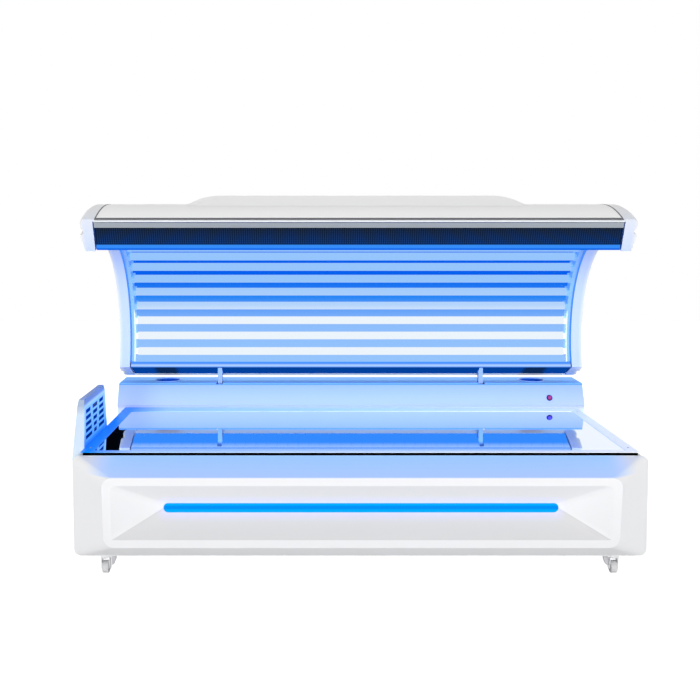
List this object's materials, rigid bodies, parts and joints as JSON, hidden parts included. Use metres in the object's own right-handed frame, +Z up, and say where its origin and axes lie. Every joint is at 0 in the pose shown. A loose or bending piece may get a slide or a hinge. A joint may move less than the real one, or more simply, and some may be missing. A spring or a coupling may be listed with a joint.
{
  "type": "clamshell tanning bed",
  "caption": "Clamshell tanning bed: lit acrylic deck on a white casing with a blue light bar, and a curved lamp canopy hinged on a rear console.",
  "frame": {"origin": "centre of the footprint, on the floor under the casters", "axes": "+X along the bed to the right as seen by the user, +Y from the user's side to the hinge side, +Z up"},
  "size_m": [2.348, 1.29, 1.5359],
  "materials": {
    "casing_white": "satin white",
    "cowl_grey": "satin off-white",
    "rim_white": "satin white",
    "vent_white": "satin white",
    "grille_white": "satin white",
    "socket_white": "satin white",
    "retainer_blue": "pale translucent edge strip",
    "clear_acrylic": "clear, polished",
    "light_lens": "opal, lit blue",
    "lamp_glass": "opal, lit blue-white",
    "mill_aluminium": "mill finish",
    "polished_aluminium": "polished",
    "rail_silver": "satin anodised",
    "frame_paint": "grey powder coat",
    "arm_paint": "pale powder coat",
    "zinc_sheet": "zinc plated sheet",
    "screw_steel": "zinc plated",
    "spring_steel": "oiled",
    "brass": "turned",
    "seal_rubber": "matte black",
    "black_plastic": "matte black",
    "grille_navy": "matte dark blue, perforated",
    "collar_blue": "satin dark blue",
    "button_red": "gloss red",
    "caster_white": "white powder coat",
    "wheel_grey": "satin light grey",
    "pedal_grey": "satin light grey"
  },
  "bodies": {
    "base": {"chassis_frame": "frame_paint", "front_panel": "casing_white", "led_lens": "light_lens", "led_channel": "mill_aluminium", "end_shell_right": "casing_white", "end_shell_left": "casing_white", "rear_panel": "casing_white", "belly_pan": "zinc_sheet", "power_gland": "black_plastic", "deck_seal": "seal_rubber", "deck_acrylic": "clear_acrylic", "deck_rim": "rim_white", "deck_screws": "screw_steel", "deck_reflector": "polished_aluminium", "deck_lamps": "lamp_glass", "deck_lamp_caps": "mill_aluminium", "deck_lamp_holders": "socket_white", "ballasts": "zinc_sheet", "console_shell": "casing_white", "console_floor": "zinc_sheet", "console_vents": "vent_white", "fan_frames": "black_plastic", "stop_button_collar": "collar_blue", "control_box": "zinc_sheet", "hinge_brackets": "frame_paint", "hinge_pins": "screw_steel", "hinge_springs": "spring_steel", "tower_shell": "casing_white", "tower_grille": "grille_white", "caster_mounts": "caster_white"},
    "canopy": {"canopy_shell": "casing_white", "canopy_cowl": "cowl_grey", "canopy_end_right": "casing_white", "canopy_end_left": "casing_white", "canopy_frame": "mill_aluminium", "canopy_reflector": "polished_aluminium", "canopy_lamps": "lamp_glass", "canopy_lamp_caps": "mill_aluminium", "canopy_lamp_holders": "socket_white", "canopy_acrylic": "clear_acrylic", "acrylic_retainers": "retainer_blue", "front_rail": "rail_silver", "rail_grille": "grille_navy", "tail_grille": "grille_navy", "canopy_arms": "arm_paint", "arm_bushes": "brass"},
    "console_fan_left": {"console_fan_left": "black_plastic"},
    "console_fan_right": {"console_fan_right": "black_plastic"},
    "tower_fan": {"tower_fan_rotor": "black_plastic"},
    "stop_button": {"stop_button_cap": "button_red"},
    "fork_front_left": {"caster_fork_front_left": "caster_white"},
    "wheel_front_left": {"caster_wheel_front_left": "wheel_grey"},
    "pedal_front_left": {"brake_pedal_front_left": "pedal_grey"},
    "fork_front_right": {"caster_fork_front_right": "caster_white"},
    "wheel_front_right": {"caster_wheel_front_right": "wheel_grey"},
    "pedal_front_right": {"brake_pedal_front_right": "pedal_grey"},
    "fork_rear_left": {"caster_fork_rear_left": "caster_white"},
    "wheel_rear_left": {"caster_wheel_rear_left": "wheel_grey"},
    "fork_rear_right": {"caster_fork_rear_right": "caster_white"},
    "wheel_rear_right": {"caster_wheel_rear_right": "wheel_grey"}
  },
  "joints": [
    {"name": "canopy_lift", "type": "hinge", "parent": "base", "child": "canopy", "pos_m": [0, 0.477, 0.592], "axis": [1, 0, 0], "range_deg": [0, 46]},
    {"name": "stop_button_press", "type": "slide", "parent": "base", "child": "stop_button", "axis": [0, 0.9127, -0.4087], "range_m": [0, 0.004], "stiffness_N_per_m": 1200, "springref_m": -0.002},
    {"name": "console_fan_left_spin", "type": "hinge", "parent": "base", "child": "console_fan_left", "pos_m": [-0.925, 0.53, 0.5835], "axis": [0, 0, 1], "continuous": true},
    {"name": "console_fan_right_spin", "type": "hinge", "parent": "base", "child": "console_fan_right", "pos_m": [0.925, 0.53, 0.5835], "axis": [0, 0, 1], "continuous": true},
    {"name": "tower_fan_spin", "type": "hinge", "parent": "base", "child": "tower_fan", "pos_m": [-1.137, -0.205, 0.58365], "axis": [1, 0, 0], "continuous": true},
    {"name": "swivel_front_left", "type": "hinge", "parent": "base", "child": "fork_front_left", "pos_m": [-1.026, -0.462, 0.074], "axis": [0, 0, 1], "continuous": true},
    {"name": "roll_front_left", "type": "hinge", "parent": "fork_front_left", "child": "wheel_front_left", "pos_m": [-1.026, -0.452, 0.025], "axis": [1, 0, 0], "continuous": true},
    {"name": "brake_front_left", "type": "hinge", "parent": "fork_front_left", "child": "pedal_front_left", "pos_m": [-1.002, -0.462, 0.0732], "axis": [0, 1, 0], "range_deg": [0, 10]},
    {"name": "swivel_front_right", "type": "hinge", "parent": "base", "child": "fork_front_right", "pos_m": [1.026, -0.462, 0.074], "axis": [0, 0, 1], "continuous": true},
    {"name": "roll_front_right", "type": "hinge", "parent": "fork_front_right", "child": "wheel_front_right", "pos_m": [1.026, -0.452, 0.025], "axis": [1, 0, 0], "continuous": true},
    {"name": "brake_front_right", "type": "hinge", "parent": "fork_front_right", "child": "pedal_front_right", "pos_m": [1.002, -0.462, 0.0732], "axis": [0, -1, 0], "range_deg": [0, 10]},
    {"name": "swivel_rear_left", "type": "hinge", "parent": "base", "child": "fork_rear_left", "pos_m": [-1.026, 0.535, 0.074], "axis": [0, 0, 1], "continuous": true},
    {"name": "roll_rear_left", "type": "hinge", "parent": "fork_rear_left", "child": "wheel_rear_left", "pos_m": [-1.026, 0.545, 0.025], "axis": [1, 0, 0], "continuous": true},
    {"name": "swivel_rear_right", "type": "hinge", "parent": "base", "child": "fork_rear_right", "pos_m": [1.026, 0.535, 0.074], "axis": [0, 0, 1], "continuous": true},
    {"name": "roll_rear_right", "type": "hinge", "parent": "fork_rear_right", "child": "wheel_rear_right", "pos_m": [1.026, 0.545, 0.025], "axis": [1, 0, 0], "continuous": true}
  ]
}
